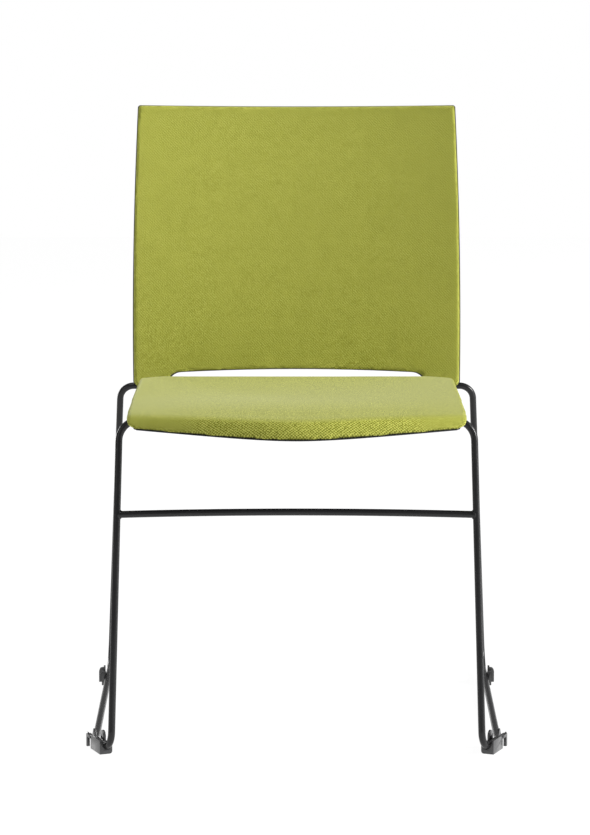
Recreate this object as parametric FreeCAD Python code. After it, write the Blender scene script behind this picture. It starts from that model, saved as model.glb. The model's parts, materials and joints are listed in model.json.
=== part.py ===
import FreeCAD, Part
import math
import os

# Sled base visitor chair. Millimetres, +Z up, the front faces -Y, left is -X.
# While it is built, Y = 0 is the plane of the front cross rod. The last lines move
# the whole chair so that its origin is at the middle of its footprint.

V = FreeCAD.Vector
X_AXIS, Y_AXIS, Z_AXIS = V(1, 0, 0), V(0, 1, 0), V(0, 0, 1)

# Steel rod frame
rod_d = 9.5
front_rod_z = 441.8
front_corner_x = 235.3
front_foot_x = 245.9
front_foot_y = -65.0
runner_front_x = 269.8
runner_front_y = -9.0
runner_rear_x = 277.2
runner_rear_y = 460.0
runner_z = 10.0
rear_rod_y = 371.0
rear_rod_z = 440.0
rear_corner_x = 254.6
cross_rod_half = 175.0
front_bend_r = 28.0
foot_bend_r = 20.0
splay_bend_r = 25.0
heel_bend_r = 30.0
rear_bend_r = 20.0
footrail_z = 317.6
footrail_bow = 20.0
weld_gap = 0.2

# Seat: a thin waterfall shell with an upholstered inner pad
seat_half_width = 222.4
seat_rear_y = 347.0
seat_front_side_y = -50.0
seat_front_bow = 50.0
seat_bow_sharpness = 0.3
seat_rear_z = 457.5
seat_dip_y = 230.0
seat_dip_z = 452.0
seat_rise_y = 110.0
seat_rise_z = 457.0
seat_crest_y = 18.0
seat_crest_z = 461.5
seat_side_rear_z = 457.2
seat_side_dip_z = 458.5
seat_side_rise_z = 457.8
seat_side_crest_z = 456.6
lip_side_z = 435.9
lip_centre_drop = 8.5
lip_height = 24.0
lip_depth = 28.0
lip_knee_height = 15.0
lip_knee_depth = 8.0
lip_side_height = 18.5
lip_side_knee_height = 13.5
seat_rear_corner_r = 42.0
lip_corner_r = 12.0

# Layers of the seat and the back, from the fabric inwards
fabric_t = 1.0
foam_t = 6.2
carrier_t = 2.2
shell_t = 4.0
layer_gap = 0.1
pad_inset = 1.6
pad_top_inset = 0.2
pan_inset = 5.0

# Back: a shell curved in plan and reclined, with an arm down each side of the seat
back_profile = ((440.0, 348.5), (500.0, 355.5), (600.0, 374.0), (700.0, 398.0), (800.0, 426.5), (842.0, 440.5))
back_half_top = 230.7
back_half_waist = 236.3
back_half_foot = 235.6
back_waist_z = 590.0
back_top_z = 841.4
back_top_dip = 2.6
back_foot_z = 440.5
back_sag_foot = 10.0
back_sag_top = 23.0
back_top_corner_r = 4.0
back_foot_corner_r = 8.0
slot_half_width = 186.0
slot_top_z = 459.5
slot_crown = 4.7
slot_corner_r = 20.0
back_margin = 12.0
back_stations = 7

# Saddles that clamp the seat to the cross rods
saddle_x = 118.0
saddle_width = 36.0
saddle_half_depth = 17.0
saddle_wall = 4.2
saddle_screw_offset = 11.5
rod_clearance = 0.15
split_gap = 0.4

# Arm sockets that clamp the back to the rear cross rod
socket_inner_x = 195.0
socket_outer_x = 227.0
socket_depth = 14.5
socket_rise = 15.0
socket_screw_y = 10.0
socket_screw_inset = 7.0

# Screws and inserts
screw_d = 4.0
screw_head_d = 7.6
screw_head_h = 2.4
screw_bite = 10.0
socket_drive_d = 2.6
insert_flange_d = 13.0
insert_flange_t = 0.8
insert_barrel_d = 6.4
boss_d = 10.0
pad_screw_x = 150.0
pad_screw_front_y = 60.0
pad_screw_rear_y = 275.0
back_screw_x = 140.0
back_screw_low_z = 520.0
back_screw_high_z = 770.0

# Ribs and stacking buffers below the seat
rib_t = 2.4
rib_depth = 5.0
rib_pitch = 45.0
rib_count = 5
rib_front_y = 24.0
rib_rear_y = 322.0
cross_rib_ys = (105.0, 190.0)
buffer_x = 182.0
buffer_front_y = 88.0
buffer_rear_y = 250.0
buffer_d = 18.0
buffer_h = 8.0
buffer_stem_d = 6.0

# Linking glides
glide_start = 16.3
glide_length = 37.5
glide_wall = 2.6
glide_clearance = 0.1
glide_plate_offset = 10.0
glide_plate_t = 3.0
glide_plate_top = 18.5
glide_inner_top = 12.5
jaw_start = 41.0
jaw_length = 15.0
jaw_inner_top = 25.0
jaw_outer_top = 28.0
link_post_along = 67.0
link_post_size = 4.0
link_post_top = 19.3
link_arm_low = 13.5
link_arm_high = 17.5
link_foot = 0.4
rear_glide_y = 357.0
rear_glide_length = 38.0
rear_jaw_top = 24.0
rear_hook_offset = 14.2
rear_hook_low = 15.0
rear_hook_high = 20.5
rear_prong_t = 4.4

# Worked out from the sizes above
rod_r = rod_d / 2
pad_t = fabric_t + foam_t + carrier_t
pan_top = pad_t + layer_gap
pan_bottom = pan_top + shell_t
bore_r = rod_r + rod_clearance


def mirrored(shape):
    return shape.mirror(V(0, 0, 0), X_AXIS)


def both_sides(shape):
    return Part.makeCompound([shape, mirrored(shape)])


def four_corners(make, x, front, rear):
    return [make(side * x, along) for side in (-1, 1) for along in (front, rear)]


def box(x0, x1, y0, y1, z0, z1):
    return Part.makeBox(x1 - x0, y1 - y0, z1 - z0, V(x0, y0, z0))


def fused(shapes):
    whole = shapes[0]
    for shape in shapes[1:]:
        whole = whole.fuse(shape)
    return whole.removeSplitter()


def extruded(points, direction):
    wire = Part.makePolygon(points + points[:1])
    return Part.Face(wire).extrude(direction)


def smooth_curve(points):
    curve = Part.BSplineCurve()
    curve.interpolate(points)
    return curve


def parameter_where(curve, height_of, target):
    """Parameter at which height_of(point) falls or rises through target, by halving."""
    low, high = curve.FirstParameter, curve.LastParameter
    rising = height_of(curve.value(high)) > height_of(curve.value(low))
    for _ in range(50):
        middle = (low + high) / 2
        if (height_of(curve.value(middle)) < target) == rising:
            low = middle
        else:
            high = middle
    return (low + high) / 2


def biggest(shape):
    return max(shape.Solids, key=lambda solid: solid.Volume)


def rounded_path(corners, radii):
    """Straight runs joined by tangent arcs; radii has one value for each inner corner."""
    edges = []
    start = corners[0]
    for before, corner, after, radius in zip(corners, corners[1:], corners[2:], radii):
        back = (before - corner).normalize()
        ahead = (after - corner).normalize()
        half_angle = back.getAngle(ahead) / 2
        reach = radius / math.tan(half_angle)
        middle = (back + ahead).normalize()
        bend_start = corner + back * reach
        bend_end = corner + ahead * reach
        bend_middle = corner + middle * (radius / math.sin(half_angle) - radius)
        edges.append(Part.LineSegment(start, bend_start).toShape())
        edges.append(Part.Arc(bend_start, bend_middle, bend_end).toShape())
        start = bend_end
    edges.append(Part.LineSegment(start, corners[-1]).toShape())
    return Part.Wire(edges)


def swept_rod(path, radius):
    first = path.Edges[0]
    start = first.valueAt(first.FirstParameter)
    section = Part.Wire(Part.makeCircle(radius, start, first.tangentAt(first.FirstParameter)))
    return path.makePipeShell([section], True, True)


# Frame

side_corners = [
    V(cross_rod_half, 0, front_rod_z),
    V(front_corner_x, 0, front_rod_z),
    V(front_foot_x, front_foot_y, runner_z),
    V(runner_front_x, runner_front_y, runner_z),
    V(runner_rear_x, runner_rear_y, runner_z),
    V(rear_corner_x, rear_rod_y, rear_rod_z),
    V(cross_rod_half, rear_rod_y, rear_rod_z),
]
side_bends = [front_bend_r, foot_bend_r, splay_bend_r, heel_bend_r, rear_bend_r]


def side_frame(radius=rod_r):
    return swept_rod(rounded_path(side_corners, side_bends), radius)


def cross_rod(rod, radius):
    """Straight rod under the seat between the two side frames; rod is its middle as (y, z)."""
    y, z = rod
    return Part.makeCylinder(radius, 2 * cross_rod_half, V(-cross_rod_half, y, z), X_AXIS)


def leg_point(z):
    """Middle of the right front leg at height z."""
    top, foot = side_corners[1], side_corners[2]
    share = (top.z - z) / (top.z - foot.z)
    return top + (foot - top) * share


def footrail():
    """Bowed rod between the front legs, its ends coped to the legs with a gap for the weld."""
    end = leg_point(footrail_z)
    middle = V(0, end.y + footrail_bow, end.z)
    bow_r = (end.x ** 2 + footrail_bow ** 2) / (2 * footrail_bow)
    centre = middle - V(0, bow_r, 0)
    half_angle = math.degrees(math.asin(end.x / bow_r) + rod_d / bow_r)
    section = Part.Face(Part.Wire(Part.makeCircle(rod_r, middle, X_AXIS)))
    section.rotate(centre, Z_AXIS, -half_angle)
    rail = section.revolve(centre, Z_AXIS, 2 * half_angle)
    leg = Part.makeCylinder(rod_r + weld_gap, 4 * rod_d, leg_point(footrail_z + 2 * rod_d),
                            side_corners[2] - side_corners[1])
    for side_leg in (leg, mirrored(leg)):
        rail = rail.cut(side_leg)
    return biggest(rail)


# Seat

def front_shift(x):
    """How far the front edge at x lies ahead of its ends, from 0 at the ends to 1 at the middle."""
    def rise(share):
        return math.hypot(share, seat_bow_sharpness) - seat_bow_sharpness
    return 1 - rise(abs(x) / seat_half_width) / rise(1)


def from_centre(x, middle, side):
    """A height that runs from its middle value to its side value across the seat."""
    return middle + (side - middle) * (x / seat_half_width) ** 2


def seat_profile(x, depth):
    """Curve of the seat at x, depth below the fabric, from the rear edge to the end of the lip."""
    shift = front_shift(x)
    edge_y = seat_front_side_y - seat_front_bow * shift
    edge_z = lip_side_z - lip_centre_drop * shift
    points = [
        V(x, seat_rear_y, from_centre(x, seat_rear_z, seat_side_rear_z)),
        V(x, seat_dip_y, from_centre(x, seat_dip_z, seat_side_dip_z)),
        V(x, seat_rise_y, from_centre(x, seat_rise_z, seat_side_rise_z)),
        V(x, seat_crest_y, from_centre(x, seat_crest_z, seat_side_crest_z)),
        V(x, edge_y + lip_depth, edge_z + from_centre(x, lip_height, lip_side_height)),
        V(x, edge_y + lip_knee_depth, edge_z + from_centre(x, lip_knee_height, lip_side_knee_height)),
        V(x, edge_y, edge_z),
    ]
    curve = smooth_curve(points)
    if depth:
        normals = [X_AXIS.cross(curve.tangent(curve.parameter(point))[0]) for point in points]
        curve = smooth_curve([point + normal * depth for point, normal in zip(points, normals)])
    return curve


def lip_profile(x, depth, lift):
    """The same curve, ended lift above the lowest edge of the lip."""
    curve = seat_profile(x, depth)
    end_z = lip_side_z - lip_centre_drop * front_shift(x) + lift
    curve.segment(curve.FirstParameter, parameter_where(curve, lambda point: point.z, end_z))
    return curve


def seat_height(x, y, depth):
    """Height of the seat at x and y, depth below the fabric."""
    curve = seat_profile(x, depth)
    return curve.value(parameter_where(curve, lambda point: point.y, y)).z


def lofted(sections):
    """Solid through closed sections, each a list of curves or point pairs."""
    wires = []
    for section in sections:
        wires.append(Part.Wire([piece.toShape() for piece in section]))
    return Part.makeLoft(wires, True, False)


def across(half, count):
    return [half * (2 * step / count - 1) for step in range(count + 1)]


def seat_sheet(top, bottom, lift):
    """Solid between two depths of the seat, its lip ending lift above the lowest edge."""
    sections = []
    for x in across(seat_half_width, 8):
        upper = lip_profile(x, top, lift)
        lower = lip_profile(x, bottom, lift)
        front = Part.LineSegment(upper.EndPoint, lower.EndPoint)
        rear = Part.LineSegment(lower.StartPoint, upper.StartPoint)
        sections.append([upper, front, lower, rear])
    return lofted(sections)


def rimmed_sheet():
    """The pan's shell, with a rim that turns forward below the fabric's edge."""
    sections = []
    for x in across(seat_half_width, 8):
        upper = lip_profile(x, pan_top, pad_inset)
        lower = lip_profile(x, pan_bottom, 0)
        rim_top = lip_profile(x, fabric_t, pad_inset).EndPoint
        rim_low = lip_profile(x, fabric_t, 0).EndPoint
        corners = [upper.EndPoint, rim_top, rim_low, lower.EndPoint]
        rim = [Part.LineSegment(start, end) for start, end in zip(corners, corners[1:])]
        rear = Part.LineSegment(lower.StartPoint, upper.StartPoint)
        sections.append([upper] + rim + [lower, rear])
    return lofted(sections)


def seat_outline(inset):
    """Prism of the seat's plan outline, with round rear corners and open at the front."""
    half = seat_half_width - inset
    rear = seat_rear_y - inset
    radius = seat_rear_corner_r - inset
    front = seat_front_side_y - 2 * seat_front_bow
    bend = radius * (1 - math.sqrt(0.5))
    edges = []
    for side in (-1, 1):
        edges.append(Part.LineSegment(V(side * half, front, 0), V(side * half, rear - radius, 0)))
        edges.append(Part.Arc(V(side * half, rear - radius, 0), V(side * (half - bend), rear - bend, 0),
                              V(side * (half - radius), rear, 0)))
    edges.append(Part.LineSegment(V(-half, front, 0), V(half, front, 0)))
    edges.append(Part.LineSegment(V(-half + radius, rear, 0), V(half - radius, rear, 0)))
    ordered = Part.__sortEdges__([edge.toShape() for edge in edges])
    face = Part.Face(Part.Wire(ordered))
    return face.extrude(V(0, 0, 2 * seat_crest_z))


def lip_corner(inset, lift):
    """What is cut away to round the lower corners of the lip."""
    half = seat_half_width - inset
    low = lip_side_z + lift
    radius = lip_corner_r - inset
    front, rear = seat_front_side_y - seat_front_bow, seat_crest_y
    block = box(half - radius, half + radius, front, rear, low - 2 * radius, low + radius)
    barrel = Part.makeCylinder(radius, rear - front, V(half - radius, front, low + radius), Y_AXIS)
    return both_sides(block.cut(barrel))


def seat_layer(top, bottom, inset, lift):
    sheet = seat_sheet(top, bottom, lift)
    return sheet.common(seat_outline(inset)).cut(lip_corner(inset, lift)).Solids[0]


def tee_insert(seat, direction):
    """Tee insert in a carrier: a flange on its padded face and a barrel through to the shell."""
    flange = Part.makeCylinder(insert_flange_d / 2, insert_flange_t, seat, direction * -1)
    barrel_length = carrier_t + shell_t / 2
    barrel = Part.makeCylinder(insert_barrel_d / 2, barrel_length, seat, direction)
    bore = Part.makeCylinder(screw_d / 2, 2 * pad_t, seat - direction * pad_t, direction)
    return flange.fuse(barrel).cut(bore)


def pan_head_screw(base, direction, length):
    """Screw whose head seats on base, its shank running along direction."""
    shank = Part.makeCylinder(screw_d / 2, length, base, direction)
    head = Part.makeCylinder(screw_head_d / 2, screw_head_h, base, direction * -1)
    rim = max(head.Edges, key=lambda edge: (edge.CenterOfMass - base).dot(direction * -1))
    head = head.makeFillet(screw_head_h * 0.4, [rim])
    drive = Part.makeCylinder(socket_drive_d / 2, screw_head_h * 0.6, base - direction * screw_head_h, direction)
    return shank.fuse(head).cut(drive)


def seat_insert(x, y):
    return tee_insert(V(x, y, seat_height(x, y, fabric_t + foam_t)), Z_AXIS * -1)


def seat_pad_screw(x, y):
    base = V(x, y, seat_height(x, y, pan_bottom) - rib_depth)
    return pan_head_screw(base, Z_AXIS, seat_height(x, y, fabric_t + foam_t) - base.z)


def screw_boss(x, y):
    """Round boss under the pan, as deep as the ribs, that a pad screw passes through."""
    low = seat_height(x, y, pan_bottom) - rib_depth
    return Part.makeCylinder(boss_d / 2, rib_depth + shell_t / 2, V(x, y, low))


def buffer(x, y):
    """Stacking buffer: a domed pad on a stem that plugs into the pan."""
    under = seat_height(x, y, pan_bottom)
    radius = buffer_d / 2
    low = under - buffer_h
    shoulder = V(radius, 0, low + buffer_h * 0.4)
    stem_top = under + shell_t / 2
    dome = Part.Arc(V(0, 0, low), V(radius * 0.6, 0, low + buffer_h * 0.1), shoulder).toShape()
    side = Part.makePolygon([shoulder, V(radius, 0, under), V(buffer_stem_d / 2, 0, under),
                             V(buffer_stem_d / 2, 0, stem_top), V(0, 0, stem_top), V(0, 0, low)])
    outline = Part.Wire([dome] + side.Edges)
    return Part.Face(outline).revolve(V(0, 0, 0), Z_AXIS, 360).translated(V(x, y, 0))


def front_saddle(x):
    """Block under the pan that takes the front cross rod from above."""
    top = seat_height(x, 0, pan_bottom) + shell_t / 2
    half = saddle_width / 2
    return box(x - half, x + half, -saddle_half_depth, saddle_half_depth, front_rod_z, top)


def rear_saddle(x):
    """Bracket from the pan's rear edge that reaches back over the rear cross rod."""
    root_y = seat_rear_y - saddle_half_depth
    root_z = seat_height(x, root_y, pan_top) - shell_t / 4
    crown = rear_rod_z + rod_r + saddle_wall
    rear = rear_rod_y + saddle_half_depth
    clear_y = seat_rear_y + split_gap
    profile = [(root_y, rear_rod_z), (rear, rear_rod_z), (rear, crown - saddle_wall),
               (rear - saddle_wall, crown), (clear_y, crown), (clear_y, root_z), (root_y, root_z)]
    points = [V(x - saddle_width / 2, y, z) for y, z in profile]
    return extruded(points, V(saddle_width, 0, 0))


def rod_cap(x0, x1, rod, front, rear, screws):
    """Half-round cap that closes a rod's seat from below; rod is the middle of the rod as (y, z)."""
    y, z = rod
    top = z - split_gap
    ears = box(x0, x1, y - front, y + rear, top - saddle_wall, top)
    belly = Part.makeCylinder(bore_r + saddle_wall, x1 - x0, V(x0, y, z), X_AXIS)
    belly = belly.common(box(x0, x1, y - front, y + rear, z - 2 * rod_d, top))
    bore = Part.makeCylinder(bore_r, x1 - x0, V(x0, y, z), X_AXIS)
    cap = fused([ears, belly]).cut(bore)
    for screw in screws:
        cap = cap.cut(screw)
    return biggest(cap)


def cap_screw(x, y, z):
    """Screw through a cap's ear into the block above it; z is the middle of the rod."""
    return pan_head_screw(V(x, y, z - split_gap - saddle_wall), Z_AXIS, screw_bite)


front_rod = (0.0, front_rod_z)
rear_rod = (rear_rod_y, rear_rod_z)


def saddle_screws(x, rod):
    return [cap_screw(x, rod[0] + side * saddle_screw_offset, rod[1]) for side in (-1, 1)]


def saddle_cap(x, rod):
    half = saddle_width / 2
    return rod_cap(x - half, x + half, rod, saddle_half_depth, saddle_half_depth, saddle_screws(x, rod))


def all_saddle_screws():
    return [screw for side in (-1, 1) for rod in (front_rod, rear_rod)
            for screw in saddle_screws(side * saddle_x, rod)]


def pan_ribs():
    """Ribs that follow the underside of the pan."""
    web = seat_sheet(pan_bottom - shell_t / 2, pan_bottom + rib_depth, 0)
    reach = rib_pitch * (rib_count - 1) / 2
    low, high = lip_side_z - 3 * lip_height, seat_crest_z
    strips = [box(x - rib_t / 2, x + rib_t / 2, rib_front_y, rib_rear_y, low, high)
              for x in across(reach, rib_count - 1)]
    strips += [box(-reach, reach, y - rib_t / 2, y + rib_t / 2, low, high) for y in cross_rib_ys]
    return web.common(fused(strips))


def pad_screw_spots(make):
    return four_corners(make, pad_screw_x, pad_screw_front_y, pad_screw_rear_y)


def buffer_spots():
    return four_corners(buffer, buffer_x, buffer_front_y, buffer_rear_y)


def seat_pan():
    """Moulded pan: the shell and its rim, ribs, screw bosses and the saddles for the rods."""
    shell = rimmed_sheet().common(seat_outline(pan_inset)).cut(lip_corner(pan_inset, 0))
    parts = [biggest(shell), pan_ribs()] + pad_screw_spots(screw_boss)
    parts += [make(side * saddle_x) for make in (front_saddle, rear_saddle) for side in (-1, 1)]
    pan = fused(parts)
    cutters = [cross_rod(front_rod, bore_r), cross_rod(rear_rod, bore_r), both_sides(side_frame(bore_r))]
    cutters += pad_screw_spots(seat_pad_screw) + pad_screw_spots(seat_insert)
    cutters += buffer_spots() + all_saddle_screws()
    for cutter in cutters:
        pan = pan.cut(cutter)
    return biggest(pan)


def seat_cover():
    """Fabric cover, open below, wrapped round the foam and the carrier."""
    outer = seat_layer(0, pad_t, 0, pad_inset)
    core = seat_layer(fabric_t, pad_t + shell_t, fabric_t, pad_inset + fabric_t)
    return biggest(outer.cut(core))


def seat_foam():
    foam = seat_layer(fabric_t, fabric_t + foam_t, fabric_t, pad_inset + fabric_t)
    for insert in pad_screw_spots(seat_insert):
        foam = foam.cut(insert)
    return biggest(foam)


def seat_carrier():
    carrier = seat_layer(fabric_t + foam_t, pad_t, fabric_t, pad_inset + fabric_t)
    for fitting in pad_screw_spots(seat_insert) + pad_screw_spots(seat_pad_screw):
        carrier = carrier.cut(fitting)
    return biggest(carrier)


# Back

def back_front_y(z):
    """Front face of the back at its side edges, at height z."""
    curve = smooth_curve([V(0, y, height) for height, y in back_profile])
    return curve.value(parameter_where(curve, lambda point: point.z, z)).y


def back_face_y(x, z, depth):
    """Y of the back at x and z, depth behind its front face, with the curve it has in plan."""
    low, high = back_profile[0][0], back_profile[-1][0]
    sag = back_sag_foot + (back_sag_top - back_sag_foot) * (z - low) / (high - low)
    return back_front_y(z) + sag * (1 - (x / back_half_waist) ** 2) + depth


def back_sheet(front, rear):
    """Solid between two depths of the back, wider and taller than its outline."""
    low, high = back_profile[0][0] - back_margin, back_profile[-1][0] + back_margin
    half = back_half_waist + back_margin
    sections = []
    for step in range(back_stations + 1):
        z = low + (high - low) * step / back_stations
        faces = []
        for depth in (front, rear):
            faces.append(Part.Arc(*[V(x, back_face_y(x, z, depth), z) for x in (-half, 0, half)]))
        left, right = [Part.LineSegment(V(x, back_face_y(x, z, front), z), V(x, back_face_y(x, z, rear), z))
                       for x in (-half, half)]
        sections.append([faces[0], right, faces[1], left])
    return lofted(sections)


def upright_edges(prism, xs, z_low, z_high):
    """Edges of a prism along Y that lie at one of xs, between two heights."""
    found = []
    for edge in prism.Edges:
        middle = edge.CenterOfMass
        along_y = abs(edge.tangentAt(edge.FirstParameter).y) > 0.99
        if along_y and z_low < middle.z < z_high and any(abs(abs(middle.x) - x) < 0.5 for x in xs):
            found.append(edge)
    return found


def back_outline(inset, top_inset):
    """Prism along Y of the back's outline: bowed sides, a slot above the seat and two arms."""
    depth = V(0, 2 * rear_rod_y, 0)
    top = back_top_z - top_inset
    foot = back_foot_z + inset / 2
    half_top, half_waist, half_foot = back_half_top - inset, back_half_waist - inset, back_half_foot - inset
    left, right = [Part.Arc(V(side * half_foot, 0, foot), V(side * half_waist, 0, back_waist_z),
                            V(side * half_top, 0, top)).toShape() for side in (-1, 1)]
    head = Part.Arc(V(-half_top, 0, top), V(0, 0, top - back_top_dip), V(half_top, 0, top)).toShape()
    base = Part.LineSegment(V(-half_foot, 0, foot), V(half_foot, 0, foot)).toShape()
    prism = Part.Face(Part.Wire([left, head, right, base])).extrude(depth)
    prism = prism.makeFillet(back_top_corner_r, upright_edges(prism, [half_top], top - 1, top + 1))
    prism = prism.makeFillet(back_foot_corner_r, upright_edges(prism, [half_foot], foot - 1, foot + 1))
    inner = slot_half_width + inset
    ceiling = slot_top_z + inset
    arch = Part.Arc(V(-inner, 0, ceiling), V(0, 0, ceiling + slot_crown), V(inner, 0, ceiling)).toShape()
    walls = Part.makePolygon([V(inner, 0, ceiling), V(inner, 0, foot - back_margin),
                              V(-inner, 0, foot - back_margin), V(-inner, 0, ceiling)])
    slot = Part.Face(Part.Wire([arch] + walls.Edges)).extrude(depth)
    slot = slot.makeFillet(slot_corner_r, upright_edges(slot, [inner], ceiling - 1, ceiling + 1))
    return prism.cut(slot)


def back_layer(front, rear, inset, top_inset):
    return biggest(back_sheet(front, rear).common(back_outline(inset, top_inset)))


def back_filling(front, rear):
    """Layer of the back inside the fabric cover."""
    return back_layer(front, rear, pad_inset + fabric_t, pad_top_inset + fabric_t)


def back_spots(make):
    return four_corners(make, back_screw_x, back_screw_low_z, back_screw_high_z)


def back_insert(x, z):
    return tee_insert(V(x, back_face_y(x, z, fabric_t + foam_t), z), Y_AXIS)


def back_pad_screw(x, z):
    base = V(x, back_face_y(x, z, pan_bottom), z)
    return pan_head_screw(base, Y_AXIS * -1, base.y - back_face_y(x, z, fabric_t + foam_t))


def arm_socket():
    """Block behind the foot of an arm that takes the rear cross rod from above."""
    middle = (socket_inner_x + socket_outer_x) / 2
    root = pan_top + shell_t / 2
    rise_z = rear_rod_z + 2 * socket_rise
    profile = [(back_face_y(middle, rear_rod_z, root), rear_rod_z),
               (rear_rod_y + socket_depth, rear_rod_z),
               (rear_rod_y + socket_depth, rear_rod_z + socket_rise / 2),
               (rear_rod_y + rod_r, rear_rod_z + socket_rise),
               (back_face_y(middle, rise_z, root), rise_z)]
    points = [V(socket_inner_x, y, z) for y, z in profile]
    return extruded(points, V(socket_outer_x - socket_inner_x, 0, 0))


def arm_cap_screws():
    xs = (socket_inner_x + socket_screw_inset, socket_outer_x - socket_screw_inset)
    return [cap_screw(x, rear_rod_y + socket_screw_y, rear_rod_z) for x in xs]


def arm_cap():
    return rod_cap(socket_inner_x, socket_outer_x, rear_rod, bore_r + saddle_wall / 2, socket_depth,
                   arm_cap_screws())


def back_shell():
    """Moulded shell of the back with its two arms and their sockets."""
    shell = fused([back_layer(pan_top, pan_bottom, 0, 0), arm_socket(), mirrored(arm_socket())])
    reach = 2 * socket_outer_x
    cutters = [Part.makeCylinder(bore_r, reach, V(-reach / 2, rear_rod_y, rear_rod_z), X_AXIS)]
    cutters += [both_sides(screw) for screw in arm_cap_screws()]
    cutters += back_spots(back_pad_screw) + back_spots(back_insert)
    for cutter in cutters:
        shell = shell.cut(cutter)
    return biggest(shell)


def back_cover():
    """Fabric cover, open behind, wrapped round the foam and the carrier."""
    outer = back_layer(0, pad_t, pad_inset, pad_top_inset)
    return biggest(outer.cut(back_filling(fabric_t, pad_t + shell_t)))


def back_foam():
    foam = back_filling(fabric_t, fabric_t + foam_t)
    for insert in back_spots(back_insert):
        foam = foam.cut(insert)
    return biggest(foam)


def back_carrier():
    carrier = back_filling(fabric_t + foam_t, pad_t)
    for fitting in back_spots(back_insert) + back_spots(back_pad_screw):
        carrier = carrier.cut(fitting)
    return biggest(carrier)


# Linking glides, made in a frame of their own: X outwards, Y along the rod, Z up

def placed_on_rod(shape, origin, along):
    angle = math.degrees(math.atan2(along.x, along.y))
    turned = shape.copy()
    turned.rotate(V(0, 0, 0), Z_AXIS, -angle)
    turned.translate(V(origin.x, origin.y, 0))
    return turned


def upright_plate(x0, x1, profile):
    """Plate between x0 and x1 with an outline of (along, height) points."""
    return extruded([V(x0, along, height) for along, height in profile], V(x1 - x0, 0, 0))


def round_topped(x0, x1, start, length, top):
    radius = length / 2
    plate = box(x0, x1, start, start + length, 0, top - radius)
    crown = Part.makeCylinder(radius, x1 - x0, V(x0, start + radius, top - radius), X_AXIS)
    return plate.fuse(crown)


def trough(start, length, outer, top):
    """Block round the lower half of the rod, its inner bottom edge rounded."""
    wall = rod_r + glide_clearance + glide_wall
    block = box(-wall, outer, start, start + length, 0, top)
    low_edge = [edge for edge in block.Edges
                if abs(edge.CenterOfMass.x + wall) < 0.01 and abs(edge.CenterOfMass.z) < 0.01]
    return block.makeFillet(wall / 2, low_edge)


def hook_post(x0, x1, start, length, top):
    """Post that hangs clear of the floor below the link arm, with a bevelled head."""
    bevel = (x1 - x0) * 0.35
    points = [V(x0, start, link_foot), V(x1, start, link_foot), V(x1, start, top - 2 * bevel),
              V(x1 - bevel, start, top), V(x0 + bevel, start, top), V(x0, start, top - 2 * bevel)]
    return extruded(points, V(0, length, 0))


def front_glide():
    """Glide on the diagonal of the floor bend: trough, link plate, two jaws and a hook."""
    jaw_in = rod_r + glide_clearance
    jaw_out = jaw_in + glide_wall
    jaw_end = jaw_start + jaw_length
    post_start = link_post_along - link_post_size / 2
    post_out = glide_plate_offset + 1
    outer_jaw = [(jaw_start, 0), (jaw_end, 0), (jaw_end, jaw_outer_top / 2),
                 (jaw_end - jaw_length * 0.4, jaw_outer_top), (jaw_end - jaw_length * 0.6, jaw_outer_top),
                 (jaw_start, jaw_outer_top * 0.6)]
    body = trough(glide_start, glide_length, glide_plate_offset, glide_inner_top)
    plate = box(glide_plate_offset - glide_plate_t, glide_plate_offset, glide_start,
                glide_start + glide_length, 0, glide_plate_top)
    slit = box(-jaw_in, jaw_in, glide_start, jaw_end, runner_z, jaw_outer_top)
    shapes = [
        body.fuse(plate).cut(slit),
        round_topped(-jaw_out, -jaw_in, jaw_start, jaw_length, jaw_inner_top),
        upright_plate(jaw_in, jaw_out, outer_jaw),
        box(jaw_in, post_out, jaw_end - glide_wall, post_start + link_post_size, link_arm_low, link_arm_high),
        hook_post(post_out - link_post_size, post_out, post_start, link_post_size, link_post_top),
    ]
    glide = placed_on_rod(fused(shapes), side_corners[2], side_corners[3] - side_corners[2])
    return biggest(glide.cut(side_frame(rod_r + glide_clearance)))


def rear_glide():
    """Glide near the heel of the runner: trough, two jaws and a broad hook."""
    jaw_in = rod_r + glide_clearance
    jaw_out = jaw_in + glide_wall
    hook_start = rear_glide_length * 0.55
    hook_length = rear_glide_length * 0.28
    slit = box(-jaw_in, jaw_in, 0, rear_glide_length, runner_z, rear_jaw_top)
    arm = box(jaw_in, rear_hook_offset, hook_start, hook_start + hook_length, rear_hook_low, rear_hook_high)
    corner = [edge for edge in arm.Edges if abs(edge.CenterOfMass.x - rear_hook_offset) < 0.01
              and abs(edge.CenterOfMass.z - rear_hook_high) < 0.01]
    arm = arm.makeFillet((rear_hook_high - rear_hook_low) * 0.8, corner)
    shapes = [
        trough(0, rear_glide_length, jaw_out, glide_inner_top).cut(slit),
        round_topped(-jaw_out, -jaw_in, rear_glide_length * 0.1, rear_glide_length * 0.5, rear_jaw_top),
        round_topped(jaw_in, jaw_out, hook_start, hook_length, rear_jaw_top),
        box(jaw_in, jaw_in + rear_prong_t, 0, glide_wall * 2, 0, rear_hook_high),
        arm,
        box(rear_hook_offset - rear_prong_t, rear_hook_offset, hook_start, hook_start + hook_length,
            link_foot, rear_hook_low + (rear_hook_high - rear_hook_low) * 0.2),
    ]
    run = side_corners[4] - side_corners[3]
    origin = side_corners[3] + run * ((rear_glide_y - side_corners[3].y) / run.y)
    glide = placed_on_rod(fused(shapes), origin, run)
    return biggest(glide.cut(side_frame(rod_r + glide_clearance)))


# The pieces by name; repeated screws, inserts and buffers are groups of separate solids

right_frame = side_frame()
right_front_glide = front_glide()
right_rear_glide = rear_glide()
right_arm_cap = arm_cap()

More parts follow.
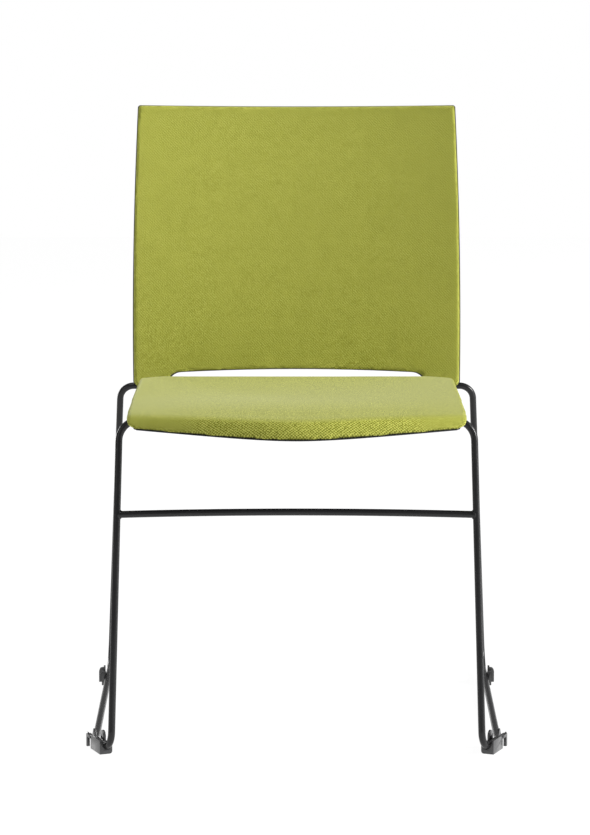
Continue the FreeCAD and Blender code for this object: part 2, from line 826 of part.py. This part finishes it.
nodes = {
    "right_side_frame": right_frame,
    "left_side_frame": mirrored(right_frame),
    "front_cross_rod": cross_rod(front_rod, rod_r),
    "rear_cross_rod": cross_rod(rear_rod, rod_r),
    "footrail": footrail(),
    "seat_pan": seat_pan(),
    "seat_carrier": seat_carrier(),
    "seat_foam": seat_foam(),
    "seat_cover": seat_cover(),
    "seat_inserts": Part.makeCompound(pad_screw_spots(seat_insert)),
    "seat_pad_screws": Part.makeCompound(pad_screw_spots(seat_pad_screw)),
    "front_left_saddle_cap": saddle_cap(-saddle_x, front_rod),
    "front_right_saddle_cap": saddle_cap(saddle_x, front_rod),
    "rear_left_saddle_cap": saddle_cap(-saddle_x, rear_rod),
    "rear_right_saddle_cap": saddle_cap(saddle_x, rear_rod),
    "saddle_screws": Part.makeCompound(all_saddle_screws()),
    "stacking_buffers": Part.makeCompound(buffer_spots()),
    "back_shell": back_shell(),
    "back_carrier": back_carrier(),
    "back_foam": back_foam(),
    "back_cover": back_cover(),
    "back_inserts": Part.makeCompound(back_spots(back_insert)),
    "back_pad_screws": Part.makeCompound(back_spots(back_pad_screw)),
    "right_arm_cap": right_arm_cap,
    "left_arm_cap": mirrored(right_arm_cap),
    "arm_cap_screws": Part.makeCompound([both_sides(screw) for screw in arm_cap_screws()]),
    "front_right_glide": right_front_glide,
    "front_left_glide": mirrored(right_front_glide),
    "rear_right_glide": right_rear_glide,
    "rear_left_glide": mirrored(right_rear_glide),
}

os.makedirs("parts", exist_ok=True)
extent = Part.makeCompound(list(nodes.values())).optimalBoundingBox(False)
to_origin = V(0, -extent.Center.y, 0)
for name, shape in nodes.items():
    piece = shape.translated(to_origin)
    piece.exportStep("parts/" + name + ".step")
    print(name, len(piece.Solids), round(piece.Volume), piece.isValid())
print("size", extent.XLength, extent.YLength, extent.ZLength, "moved by", to_origin.y)
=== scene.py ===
import json
import math

import bmesh
import bpy
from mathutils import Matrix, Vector
from mathutils.bvhtree import BVHTree
from mathutils.kdtree import KDTree


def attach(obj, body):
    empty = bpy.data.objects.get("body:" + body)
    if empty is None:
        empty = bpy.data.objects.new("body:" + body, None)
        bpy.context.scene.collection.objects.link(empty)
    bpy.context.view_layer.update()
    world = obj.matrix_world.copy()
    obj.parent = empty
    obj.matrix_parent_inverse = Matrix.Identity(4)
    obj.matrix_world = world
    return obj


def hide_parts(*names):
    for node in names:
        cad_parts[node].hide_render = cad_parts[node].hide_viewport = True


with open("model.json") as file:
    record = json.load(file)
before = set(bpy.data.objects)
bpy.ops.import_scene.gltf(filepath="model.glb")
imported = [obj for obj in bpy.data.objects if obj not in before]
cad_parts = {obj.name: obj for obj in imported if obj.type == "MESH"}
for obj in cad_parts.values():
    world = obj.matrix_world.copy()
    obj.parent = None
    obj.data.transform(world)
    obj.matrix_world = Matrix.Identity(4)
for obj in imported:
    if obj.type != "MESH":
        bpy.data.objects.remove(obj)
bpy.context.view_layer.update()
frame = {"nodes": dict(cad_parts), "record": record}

bpy.ops.object.select_all(action="DESELECT")
scene = bpy.context.scene
scene.view_settings.view_transform = "Standard"


# Camera, at the photograph's place: 4 m in front of the chair and 1 m up

def photo_camera():
    camera = bpy.data.objects.new("photo_camera", bpy.data.cameras.new("photo_camera"))
    scene.collection.objects.link(camera)
    camera.location = (-0.0023, -4.1870, 1.0)
    camera.rotation_euler = (math.radians(90 - 7.9), 0, 0)
    camera.data.sensor_fit = "VERTICAL"
    camera.data.sensor_height = 36
    camera.data.lens = 131.24
    camera.data.clip_start = 0.1
    camera.data.clip_end = 40
    scene.camera = camera


# Small helpers for node trees

class Bench:
    """A node tree with short ways to add and join nodes."""

    def __init__(self, tree):
        self.tree = tree

    def add(self, kind, **settings):
        node = self.tree.nodes.new(kind)
        for name, value in settings.items():
            setattr(node, name, value)
        return node

    def join(self, source, target):
        self.tree.links.new(source, target)

    def math(self, operation, first, second=None):
        node = self.add("ShaderNodeMath", operation=operation)
        for socket, value in zip(node.inputs, (first, second)):
            if value is None:
                continue
            if isinstance(value, (int, float)):
                socket.default_value = value
            else:
                self.join(value, socket)
        return node.outputs[0]

    def noise(self, vector, scale, detail=2.0, roughness=0.5):
        node = self.add("ShaderNodeTexNoise", noise_dimensions="3D")
        node.inputs["Scale"].default_value = scale
        node.inputs["Detail"].default_value = detail
        node.inputs["Roughness"].default_value = roughness
        self.join(vector, node.inputs["Vector"])
        return node.outputs["Fac"]

    def ramp(self, value, stops):
        node = self.add("ShaderNodeValToRGB")
        ramp = node.color_ramp
        ramp.elements[0].position, ramp.elements[0].color = stops[0][0], (*stops[0][1], 1)
        ramp.elements[1].position, ramp.elements[1].color = stops[-1][0], (*stops[-1][1], 1)
        for position, colour in stops[1:-1]:
            ramp.elements.new(position).color = (*colour, 1)
        self.join(value, node.inputs["Fac"])
        return node.outputs["Color"]

    def spread(self, value, low, high, to_low=0.0, to_high=1.0):
        node = self.add("ShaderNodeMapRange")
        limits = (("From Min", low), ("From Max", high), ("To Min", to_low), ("To Max", to_high))
        for name, number in limits:
            node.inputs[name].default_value = number
        self.join(value, node.inputs["Value"])
        return node.outputs["Result"]


def new_group(name, inputs, outputs):
    """Shader node group with named sockets; returns its bench, its input node and its output node."""
    tree = bpy.data.node_groups.new(name, "ShaderNodeTree")
    kinds = {"value": "NodeSocketFloat", "vector": "NodeSocketVector"}
    for direction, sockets in (("INPUT", inputs), ("OUTPUT", outputs)):
        for socket_name, kind in sockets:
            tree.interface.new_socket(name=socket_name, in_out=direction,
                                      socket_type=kinds[kind])
    bench = Bench(tree)
    return bench, bench.add("NodeGroupInput"), bench.add("NodeGroupOutput")


def crepe_weave_group():
    """Crepe weave: crossed threads under a heather of slubs, with streaks along the warp.

    Thread is the distance from thread to thread, Slub and Twill are how much slubs and threads show.
    """
    drift_scale, drift_width = 260.0, 0.0016
    hatch_depth = 0.45
    heather_scale, heather_share = 620.0, 0.75
    streak_across, streak_along, streak_share = 850.0, 230.0, 0.25
    full_turn = 2 * math.pi
    bench, given, made = new_group(
        "crepe_weave",
        [("Across", "value"), ("Along", "value"), ("Thread", "value"), ("Slub", "value"),
         ("Twill", "value"), ("Place", "vector")],
        [("Height", "value"), ("Tone", "value")],
    )
    across, along, thread, slub, twill = given.outputs[:5]
    place = bench.add("ShaderNodeCombineXYZ")
    bench.join(across, place.inputs["X"])
    bench.join(along, place.inputs["Y"])
    drift = bench.noise(place.outputs[0], drift_scale, detail=1.0)
    drift = bench.math("MULTIPLY", bench.math("SUBTRACT", drift, 0.5), drift_width)
    warp_phase = bench.math("DIVIDE", bench.math("ADD", across, drift), thread)
    weft_phase = bench.math("DIVIDE", bench.math("SUBTRACT", along, drift), thread)
    warp = bench.math("COSINE", bench.math("MULTIPLY", warp_phase, full_turn))
    weft = bench.math("COSINE", bench.math("MULTIPLY", weft_phase, full_turn))
    crossing = bench.math("MULTIPLY", warp, weft)
    hatch = bench.math("MULTIPLY_ADD", crossing, hatch_depth)
    hatch.node.inputs[2].default_value = 0.5
    heather = bench.noise(given.outputs["Place"], heather_scale, detail=1.0, roughness=0.6)
    streak_place = bench.add("ShaderNodeCombineXYZ")
    bench.join(bench.math("MULTIPLY", across, streak_across), streak_place.inputs["X"])
    bench.join(bench.math("MULTIPLY", along, streak_along), streak_place.inputs["Y"])
    streak = bench.noise(streak_place.outputs[0], 1.0, detail=1.0)
    slubs = bench.math("ADD", bench.math("MULTIPLY", heather, heather_share),
                       bench.math("MULTIPLY", streak, streak_share))
    slubs = bench.math("MULTIPLY", bench.math("SUBTRACT", slubs, 0.5), slub)
    hatch_part = bench.math("MULTIPLY", bench.math("SUBTRACT", hatch, 0.5), twill)
    tone = bench.math("ADD", bench.math("ADD", slubs, hatch_part), 0.5)
    height = bench.math("ADD", hatch, slubs)
    bench.join(height, made.inputs["Height"])
    bench.join(tone, made.inputs["Tone"])
    return bench.tree


def fine_grain_group():
    """Fine grain of moulded plastic and powder coat: height and a slow mottle."""
    bench, given, made = new_group(
        "fine_grain",
        [("Vector", "vector"), ("Scale", "value")],
        [("Height", "value"), ("Mottle", "value")],
    )
    stretched = bench.add("ShaderNodeVectorMath", operation="SCALE")
    bench.join(given.outputs["Vector"], stretched.inputs[0])
    bench.join(given.outputs["Scale"], stretched.inputs["Scale"])
    bench.join(bench.noise(stretched.outputs[0], 1.0, detail=2.0), made.inputs["Height"])
    bench.join(bench.noise(given.outputs["Vector"], 14.0, detail=3.0), made.inputs["Mottle"])
    return bench.tree


weave_group = crepe_weave_group()
grain_group = fine_grain_group()


def blank_material(name, **shader_values):
    """Material with a Principled shader whose plain values are set on its own sockets."""
    material = bpy.data.materials.new(name)
    material.use_nodes = True
    bench = Bench(material.node_tree)
    shader = next(node for node in material.node_tree.nodes if node.type == "BSDF_PRINCIPLED")
    for socket_name, value in shader_values.items():
        shader.inputs[socket_name.replace("_", " ")].default_value = value
    return material, bench, shader


def upholstery(name, along_axis, thread, slub, twill, bump):
    """Lime green crepe; the warp runs up the back, and over the seat and down its front edge."""
    material, bench, shader = blank_material(
        name, Roughness=0.85, Specular_IOR_Level=0.25, Sheen_Weight=0.32, Sheen_Roughness=0.42,
        Sheen_Tint=(0.93, 0.95, 0.72, 1),
    )
    place = bench.add("ShaderNodeTexCoord").outputs["Object"]
    parts = bench.add("ShaderNodeSeparateXYZ")
    bench.join(place, parts.inputs[0])
    along = parts.outputs["Z"]
    if along_axis == "seat":
        along = bench.math("ADD", parts.outputs["Y"], parts.outputs["Z"])
    weave = bench.add("ShaderNodeGroup", node_tree=weave_group)
    bench.join(parts.outputs["X"], weave.inputs["Across"])
    bench.join(along, weave.inputs["Along"])
    weave.inputs["Thread"].default_value = thread
    bench.join(place, weave.inputs["Place"])
    weave.inputs["Slub"].default_value = slub
    weave.inputs["Twill"].default_value = twill
    colour = bench.ramp(weave.outputs["Tone"], [
        (0.12, (0.180, 0.192, 0.014)),
        (0.50, (0.372, 0.386, 0.050)),
        (0.88, (0.590, 0.600, 0.120)),
    ])
    bench.join(colour, shader.inputs["Base Color"])
    relief = bench.add("ShaderNodeBump")
    relief.inputs["Strength"].default_value = bump
    relief.inputs["Distance"].default_value = 0.0004
    bench.join(weave.outputs["Height"], relief.inputs["Height"])
    bench.join(relief.outputs["Normal"], shader.inputs["Normal"])
    return material


def coated(name, colour, roughness, grain_scale, bump, **shader_values):
    """Powder coat or moulded plastic with a fine grain and slightly uneven gloss."""
    material, bench, shader = blank_material(name, **shader_values)
    place = bench.add("ShaderNodeTexCoord").outputs["Object"]
    grain = bench.add("ShaderNodeGroup", node_tree=grain_group)
    bench.join(place, grain.inputs["Vector"])
    grain.inputs["Scale"].default_value = grain_scale
    darker = tuple(0.8 * part for part in colour)
    lighter = tuple(1.2 * part for part in colour)
    shade = bench.ramp(grain.outputs["Mottle"], [(0.3, darker), (0.7, lighter)])
    bench.join(shade, shader.inputs["Base Color"])
    gloss = bench.spread(grain.outputs["Mottle"], 0.3, 0.7, roughness - 0.04, roughness + 0.04)
    bench.join(gloss, shader.inputs["Roughness"])
    relief = bench.add("ShaderNodeBump")
    relief.inputs["Strength"].default_value = bump
    relief.inputs["Distance"].default_value = 0.0002
    bench.join(grain.outputs["Height"], relief.inputs["Height"])
    bench.join(relief.outputs["Normal"], shader.inputs["Normal"])
    return material


back_fabric = upholstery("back_crepe", "back", 0.0040, 3.4, 1.0, 0.3)
seat_fabric = upholstery("seat_crepe", "seat", 0.0044, 3.2, 1.6, 0.2)
powder_coat = coated("black_powder_coat", (0.018, 0.018, 0.019), 0.26, 1400.0, 0.05,
                     Specular_IOR_Level=0.34)
shell_plastic = coated("shell_plastic", (0.012, 0.012, 0.013), 0.50, 2600.0, 0.25,
                       Specular_IOR_Level=0.30)
glide_plastic = coated("glide_plastic", (0.040, 0.040, 0.042), 0.30, 2200.0, 0.10,
                       Coat_Weight=0.6, Coat_Roughness=0.2)
carrier_plastic = coated("carrier_plastic", (0.05, 0.05, 0.05), 0.55, 1500.0, 0.2)
foam_cells = coated("foam_cells", (0.62, 0.60, 0.50), 0.95, 900.0, 0.6)
buffer_rubber = coated("buffer_rubber", (0.020, 0.020, 0.020), 0.75, 1800.0, 0.3)
zinc_plate = coated("zinc_plate", (0.55, 0.56, 0.58), 0.32, 3000.0, 0.1, Metallic=1.0)

finish_of_slot = {
    "frame": powder_coat,
    "shell_plastic": shell_plastic,
    "carrier_plastic": carrier_plastic,
    "foam": foam_cells,
    "seat_fabric": seat_fabric,
    "fittings": zinc_plate,
    "buffer_rubber": buffer_rubber,
    "glide_plastic": glide_plastic,
}


def finish_nodes():
    for part in frame["record"]["subparts"]:
        node = frame["nodes"][part["node"]]
        for holder in node.material_slots:
            holder.material = finish_of_slot[part["material_slot"]]


# Pieces, in metres

SHARP_MESH = 0.0025      # mesh of the pads that are seen
CLOTH_MESH = 0.006       # mesh of the pads that the cloth simulation moves
PAD_DEPTH = 0.0094       # carrier, foam and cover together
CLOTH_FRAMES = 20
MOULD_ROUND = 0.0005
ROD_R = 0.00475
SEAT_HALF_WIDTH = 0.2224


def piece_from(name, nodes):
    """New object that holds a merged copy of CAD nodes, at their place."""
    body = bmesh.new()
    for node in nodes:
        body.from_mesh(frame["nodes"][node].data)
    bmesh.ops.remove_doubles(body, verts=body.verts, dist=0.00001)
    mesh = bpy.data.meshes.new(name)
    body.to_mesh(mesh)
    body.free()
    piece = bpy.data.objects.new(name, mesh)
    scene.collection.objects.link(piece)
    return piece


def apply_modifiers(piece):
    bpy.ops.object.select_all(action="DESELECT")
    bpy.context.view_layer.objects.active = piece
    piece.select_set(True)
    for name in [modifier.name for modifier in piece.modifiers]:
        bpy.ops.object.modifier_apply(modifier=name)
    piece.select_set(False)


def give(piece, material, sharp_above=180):
    """Finish of a piece: its material, smooth shading below an angle and its body."""
    piece.data.materials.clear()
    piece.data.materials.append(material)
    bpy.ops.object.select_all(action="DESELECT")
    bpy.context.view_layer.objects.active = piece
    piece.select_set(True)
    bpy.ops.object.shade_smooth_by_angle(angle=math.radians(sharp_above))
    piece.select_set(False)
    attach(piece, "root")


def eased_moulding(node, material):
    """Moulded piece with the small round that a mould leaves on its edges."""
    piece = piece_from(node + "_moulding", [node])
    body = bmesh.new()
    body.from_mesh(piece.data)
    bmesh.ops.dissolve_limit(body, angle_limit=math.radians(1), verts=body.verts,
                             edges=body.edges)
    body.to_mesh(piece.data)
    body.free()
    ease = piece.modifiers.new("ease", "BEVEL")
    ease.limit_method = "ANGLE"
    ease.angle_limit = math.radians(42)
    ease.width = MOULD_ROUND
    ease.segments = 2
    ease.use_clamp_overlap = True
    apply_modifiers(piece)
    give(piece, material, sharp_above=40)
    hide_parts(node)


def weld_bead(name, middle, along, leg_r, bead_r):
    """Rippled bead round a rod's end; leg_r is the rod it is coped to, or 0 for a butt joint."""
    ripples, ripple_depth = 26, 0.10
    ring_r = ROD_R + bead_r * 0.2
    bpy.ops.mesh.primitive_torus_add(major_radius=ring_r, minor_radius=bead_r,
                                     major_segments=72, minor_segments=12)
    bead = bpy.context.active_object
    bead.name = name
    along = Vector(along)
    turn = Vector((0, 0, 1)).rotation_difference(along)
    across_leg = (turn @ Vector((0, 1, 0))).cross(along).cross(along).normalized()
    for vertex in bead.data.vertices:
        ring = Vector((vertex.co.x, vertex.co.y, 0)).normalized() * ring_r
        ripple = 1 + ripple_depth * math.sin(ripples * math.atan2(ring.y, ring.x))
        point = turn @ (ring + (vertex.co - ring) * ripple)
        offset = abs((turn @ ring).dot(across_leg))
        reach = math.sqrt(max(leg_r ** 2 - min(offset, leg_r * 0.97) ** 2, 0))
        vertex.co = Vector(middle) + point - along * reach
    give(bead, powder_coat)


def rim_hold(piece, shell_node):
    """How firmly each point of a pad is held: 1 at the rim and below, 0 well inside its face."""
    rim_depth = PAD_DEPTH * 0.75
    ramp_start, ramp_end = 0.004, 0.030
    tree = BVHTree.FromObject(frame["nodes"][shell_node], bpy.context.evaluated_depsgraph_get())
    points = [vertex.co.copy() for vertex in piece.data.vertices]
    depth = [tree.find_nearest(point)[3] for point in points]
    held = [point for point, gap in zip(points, depth) if gap < rim_depth]
    rim = KDTree(len(held))
    for number, point in enumerate(held):
        rim.insert(point, number)
    rim.balance()
    hold = []
    for point, gap in zip(points, depth):
        away = rim.find(point)[2] if gap >= rim_depth else 0.0
        hold.append(1 - min(max((away - ramp_start) / (ramp_end - ramp_start), 0), 1))
    return hold


def fitted_skin(name, nodes, voxel):
    """Even mesh over the pad's outside, drawn tight to the CAD solids, its edges rounded by a voxel."""
    pad = piece_from(name, nodes)
    skin = piece_from(name + "_skin", nodes)
    remesh = pad.modifiers.new("remesh", "REMESH")
    remesh.mode = "VOXEL"
    remesh.voxel_size = voxel
    smooth = pad.modifiers.new("smooth", "SMOOTH")
    smooth.factor = 0.5
    smooth.iterations = 2
    snug = pad.modifiers.new("snug", "SHRINKWRAP")
    snug.target = skin
    settle = pad.modifiers.new("settle", "SMOOTH")
    settle.factor = 0.5
    settle.iterations = 2
    apply_modifiers(pad)
    bpy.data.objects.remove(skin)
    return pad


def swelling(name, nodes, shell_node, crown):
    """Where the foam lifts the fabric: points of a coarse pad and how far the cloth moves them."""
    form = fitted_skin(name + "_form", nodes, CLOTH_MESH)
    flat = [vertex.co.copy() for vertex in form.data.vertices]
    hold = rim_hold(form, shell_node)
    group = form.vertex_groups.new(name="held_rim")
    for number, weight in enumerate(hold):
        group.add([number], weight, "REPLACE")
    cloth = form.modifiers.new("cloth", "CLOTH")
    cloth.settings.vertex_group_mass = "held_rim"
    cloth.settings.quality = 4
    cloth.settings.mass = 0.2
    cloth.settings.use_pressure = True
    cloth.settings.uniform_pressure_force = 4.0
    cloth.settings.effector_weights.gravity = 0.0
    cloth.point_cache.frame_start = 1
    cloth.point_cache.frame_end = CLOTH_FRAMES
    for number in range(1, CLOTH_FRAMES + 1):
        scene.frame_set(number)
    apply_modifiers(form)
    scene.frame_set(1)
    places = KDTree(len(flat))
    rises = []
    for number, (vertex, start, weight) in enumerate(zip(form.data.vertices, flat, hold)):
        rise = vertex.co - start
        limit = crown * (1 - weight)
        if rise.length > limit:
            rise = rise.normalized() * limit
        rises.append(rise)
        places.insert(start, number)
    places.balance()
    bpy.data.objects.remove(form)
    return places, rises


def fill_front_roll(pad):
    """Fuller foam at the seat's front edge, most at its middle and none at its ends."""
    front, bow = -0.237, 0.050                       # front edge at the ends, and its bow
    highest, crest = 0.0088, 0.007                   # lift at the middle, and how far behind the edge
    decay, reach, fade = 0.026, 0.11, 0.04

    def rise(share):
        return math.hypot(share, 0.3) - 0.3

    normals = [vertex.normal.copy() for vertex in pad.data.vertices]
    for vertex, normal in zip(pad.data.vertices, normals):
        share = min(abs(vertex.co.x) / SEAT_HALF_WIDTH, 1)
        behind = vertex.co.y - (front - bow * (1 - rise(share) / rise(1)))
        if not 0 < behind < reach:
            continue
        outer = min(max((normal.z - normal.y + 0.3) / 0.9, 0), 1)
        if behind < crest:
            lift = behind / crest
        else:
            lift = math.exp((crest - behind) / decay) * min((reach - behind) / fade, 1)
        vertex.co.z += highest * (1 - share ** 2) * lift * outer


def upholstered_pad(name, nodes, shell_node, material, crown, edge_roll):
    """Pad in its fabric; edge_roll is how far the fabric's rolled edge stands out at each side."""
    pad = fitted_skin(name, nodes, SHARP_MESH)
    half = max(vertex.co.x for vertex in pad.data.vertices)
    for vertex in pad.data.vertices:
        vertex.co.x *= 1 + edge_roll / half
    places, rises = swelling(name, nodes, shell_node, crown)
    for vertex in pad.data.vertices:
        near = [(rises[number], 1 / (gap + 0.001))
                for _, number, gap in places.find_n(vertex.co, 6)]
        total = sum(share for _, share in near)
        vertex.co += sum((rise * share for rise, share in near), Vector()) / total
    if name == "seat_pad":
        fill_front_roll(pad)
    give(pad, material)
    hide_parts(*nodes)
    return pad


# Stage and light

def white_for_camera(bench, lit, output, in_gloss):
    """Shows white to the camera and, with in_gloss, in reflections; shows lit to everything else."""
    path = bench.add("ShaderNodeLightPath")
    seen = path.outputs["Is Camera Ray"]
    if in_gloss:
        seen = bench.math("MAXIMUM", seen, path.outputs["Is Glossy Ray"])
    mix = bench.add("ShaderNodeMixShader")
    bench.join(seen, mix.inputs["Fac"])
    bench.join(lit, mix.inputs[1])
    bench.join(mix.outputs[0], output)
    return mix


def studio_world():
    world = bpy.data.worlds.new("studio")
    world.use_nodes = True
    bench = Bench(world.node_tree)
    world.node_tree.nodes.clear()
    soft = bench.add("ShaderNodeBackground")
    soft.inputs["Color"].default_value = (1, 1, 1, 1)
    soft.inputs["Strength"].default_value = 0.22
    white = bench.add("ShaderNodeBackground")
    white.inputs["Color"].default_value = (1, 1, 1, 1)
    output = bench.add("ShaderNodeOutputWorld")
    mix = white_for_camera(bench, soft.outputs[0], output.inputs["Surface"], in_gloss=False)
    bench.join(white.outputs[0], mix.inputs[2])
    scene.world = world


def pale_floor():
    bpy.ops.mesh.primitive_plane_add(size=14, location=(0, 1.5, 0))
    floor = bpy.context.active_object
    floor.name = "studio_floor"
    material = bpy.data.materials.new("pale_floor")
    material.use_nodes = True
    bench = Bench(material.node_tree)
    shader = next(node for node in material.node_tree.nodes if node.type == "BSDF_PRINCIPLED")
    output = next(node for node in material.node_tree.nodes if node.type == "OUTPUT_MATERIAL")
    shader.inputs["Base Color"].default_value = (0.86, 0.86, 0.86, 1)
    shader.inputs["Roughness"].default_value = 0.9
    shader.inputs["Specular IOR Level"].default_value = 0.0
    glow = bench.add("ShaderNodeEmission")
    glow.inputs["Strength"].default_value = 0.95
    dim = bench.add("ShaderNodeBsdfDiffuse")
    dim.inputs["Color"].default_value = (0.13, 0.13, 0.13, 1)
    veil = bench.add("ShaderNodeAddShader")
    bench.join(dim.outputs[0], veil.inputs[0])
    bench.join(glow.outputs[0], veil.inputs[1])
    mix = white_for_camera(bench, shader.outputs[0], output.inputs["Surface"], in_gloss=True)
    bench.join(veil.outputs[0], mix.inputs[2])
    floor.data.materials.append(material)
    bpy.ops.object.select_all(action="DESELECT")


def softbox(name, place, target, width, height, energy):
    light = bpy.data.lights.new(name, "AREA")
    light.shape = "RECTANGLE"
    light.size = width
    light.size_y = height
    light.energy = energy
    lamp = bpy.data.objects.new(name, light)
    scene.collection.objects.link(lamp)
    lamp.location = place
    lamp.rotation_euler = (Vector(target) - Vector(place)).to_track_quat("-Z", "Y").to_euler()


photo_camera()
studio_world()
pale_floor()
softbox("key_right", (8.0, -1.7, 4.2), (0, 0, 0.6), 2.0, 3.2, 900)
softbox("strip_right", (2.3, -0.5, 0.55), (0, -0.1, 0.45), 0.25, 1.0, 7)
softbox("rim_left", (-2.3, 2.4, 0.7), (-0.2, 0, 0.3), 0.9, 1.2, 26)
softbox("fill_left", (-2.4, -2.2, 1.5), (0, 0, 0.4), 1.4, 1.6, 9)
softbox("top", (-0.5, -0.2, 3.2), (-0.1, 0, 0.5), 1.6, 1.6, 22)

finish_nodes()
upholstered_pad("seat_pad", ["seat_cover", "seat_foam", "seat_carrier"], "seat_pan", seat_fabric,
                crown=0.0012, edge_roll=0.0014)
upholstered_pad("back_pad", ["back_cover", "back_foam", "back_carrier"], "back_shell", back_fabric,
                crown=0.0012, edge_roll=0.0002)

for glide in ("front_right_glide", "front_left_glide", "rear_right_glide", "rear_left_glide"):
    eased_moulding(glide, glide_plastic)
for cap in ("front_left_saddle_cap", "front_right_saddle_cap", "rear_left_saddle_cap",
            "rear_right_saddle_cap", "right_arm_cap", "left_arm_cap"):
    eased_moulding(cap, shell_plastic)
for side, side_name in ((-1, "left"), (1, "right")):
    weld_bead("footrail_weld_" + side_name, (side * 0.23835, -0.20575, 0.3176),
              (side * 0.986, -0.1668, 0), leg_r=0.0046, bead_r=0.0012)
    weld_bead("front_rod_weld_" + side_name, (side * 0.175, -0.18703, 0.4418), (side, 0, 0),
              leg_r=0, bead_r=0.0008)
    weld_bead("rear_rod_weld_" + side_name, (side * 0.175, 0.18397, 0.440), (side, 0, 0),
              leg_r=0, bead_r=0.0008)
